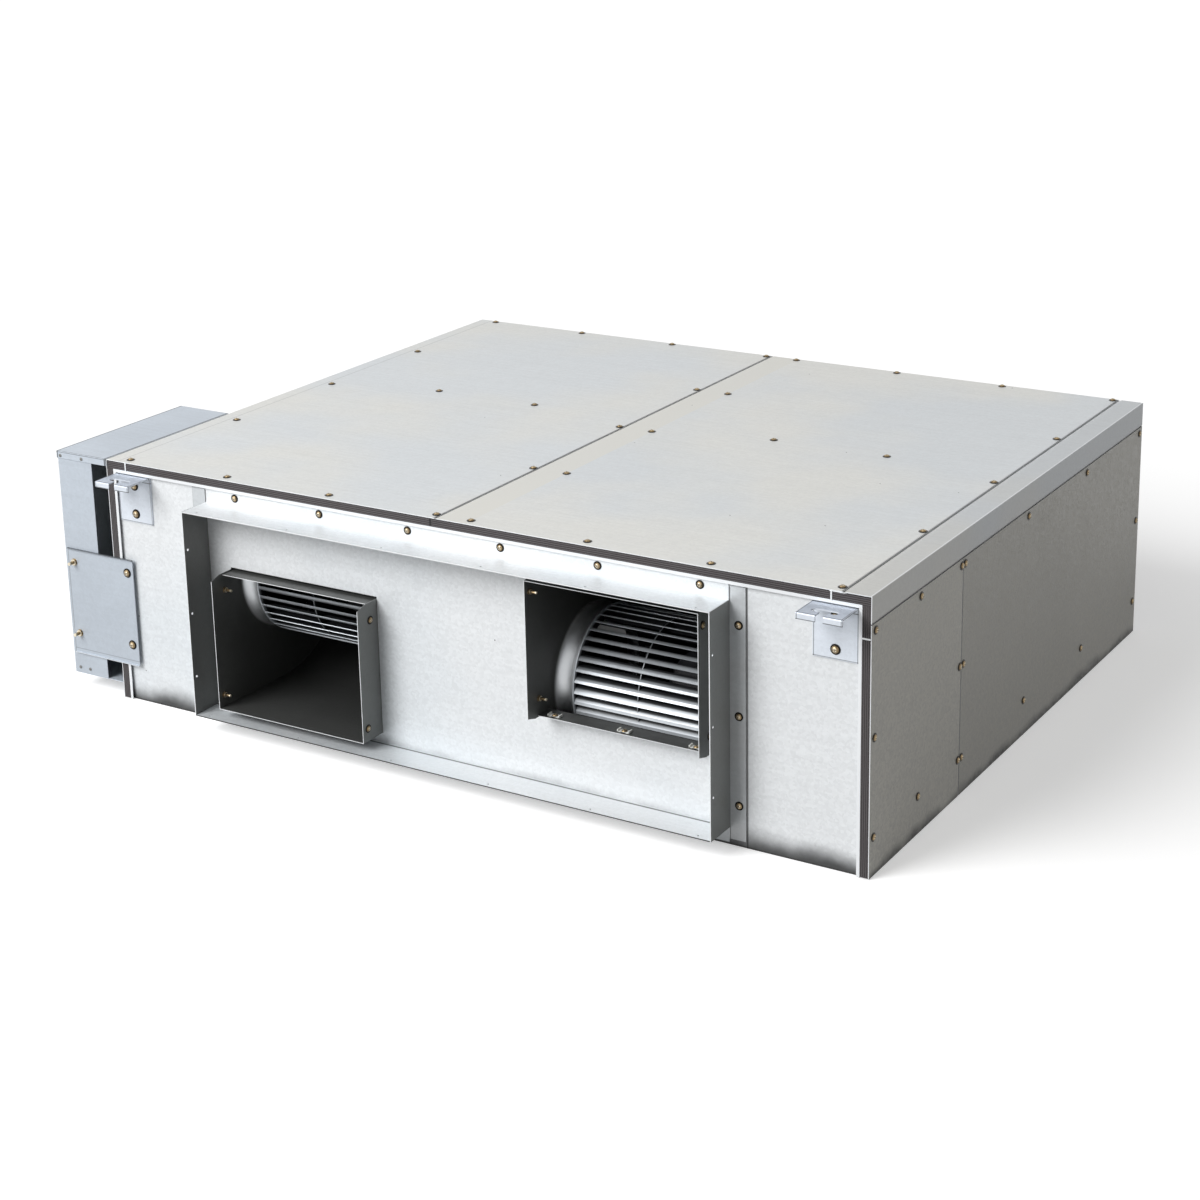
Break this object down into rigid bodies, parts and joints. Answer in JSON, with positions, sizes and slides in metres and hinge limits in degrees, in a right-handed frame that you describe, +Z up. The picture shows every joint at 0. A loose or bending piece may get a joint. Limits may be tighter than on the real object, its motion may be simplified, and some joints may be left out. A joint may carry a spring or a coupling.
{
  "type": "ducted air conditioner indoor unit",
  "caption": "Flat galvanised casing to hang above a ceiling: blowers in scroll housings at the front, coil and drain pan inside, suction opening at the rear, electrical box on the left.",
  "frame": {"origin": "centre of the casing's underside", "axes": "+X towards the casing's right side, -Y out of the blower outlets at the front, +Z up"},
  "size_m": [1.4926, 1.21, 0.4236],
  "materials": {
    "galvanised": "galvanised, mottled",
    "galvanised_dark": "galvanised, dull",
    "bracket_steel": "galvanised, bright",
    "foam": "matt, layered",
    "wheel_steel": "bright",
    "shaft_steel": "ground",
    "motor_paint": "satin",
    "fins": "fine fins",
    "copper": "drawn",
    "valve_brass": "machined",
    "pan": "matt",
    "socket": "matt",
    "terminal": "matt",
    "board": "satin",
    "screw_zinc": "yellow zinc"
  },
  "bodies": {
    "casing": {"bottom_panel": "galvanised", "bracket_bolts": "screw_zinc", "coil_end_left": "galvanised", "coil_end_right": "galvanised", "coil_fins": "fins", "coil_return_bends": "copper", "control_board": "board", "drain_pan": "pan", "drain_socket": "socket", "duct_frame_bottom": "galvanised", "duct_frame_left": "galvanised", "duct_frame_right": "galvanised", "duct_frame_top": "galvanised", "expansion_valve": "valve_brass", "frame_screws": "screw_zinc", "front_plate": "galvanised", "gas_pipe": "copper", "hanger_front_left": "bracket_steel", "hanger_front_right": "bracket_steel", "hanger_rear_left": "bracket_steel", "hanger_rear_right": "bracket_steel", "insulation_floor": "foam", "insulation_left": "foam", "insulation_right": "foam", "insulation_top": "foam", "left_blower_side_motor": "galvanised_dark", "left_blower_side_outer": "galvanised_dark", "left_cutoff_lip": "galvanised_dark", "left_motor": "motor_paint", "left_motor_bracket": "bracket_steel", "left_scroll": "galvanised_dark", "liquid_distributor": "copper", "liquid_pipe": "copper", "outlet_screws": "screw_zinc", "rear_panel": "galvanised", "right_blower_side_motor": "galvanised_dark", "right_blower_side_outer": "galvanised_dark", "right_cutoff_lip": "galvanised_dark", "right_motor": "motor_paint", "right_motor_bracket": "bracket_steel", "right_scroll": "galvanised_dark", "side_box": "galvanised", "side_box_lid": "galvanised", "side_panel_left_front": "galvanised", "side_panel_left_rear": "galvanised", "side_panel_right_front": "galvanised_dark", "side_panel_right_rear": "galvanised_dark", "side_screws": "screw_zinc", "suction_frame": "galvanised", "suction_header": "copper", "terminal_block": "terminal", "top_panel_left": "galvanised", "top_panel_right": "galvanised", "top_rail_right": "galvanised", "top_screws": "screw_zinc", "wiring_cover": "galvanised"},
    "left_fan": {"left_fan_wheel": "wheel_steel", "left_shaft": "shaft_steel"},
    "right_fan": {"right_fan_wheel": "wheel_steel", "right_shaft": "shaft_steel"}
  },
  "joints": [
    {"name": "left_fan_spin", "type": "hinge", "parent": "casing", "child": "left_fan", "pos_m": [-0.296, -0.416, 0.244], "axis": [1, 0, 0], "continuous": true},
    {"name": "right_fan_spin", "type": "hinge", "parent": "casing", "child": "right_fan", "pos_m": [0.301, -0.416, 0.168], "axis": [1, 0, 0], "continuous": true}
  ]
}
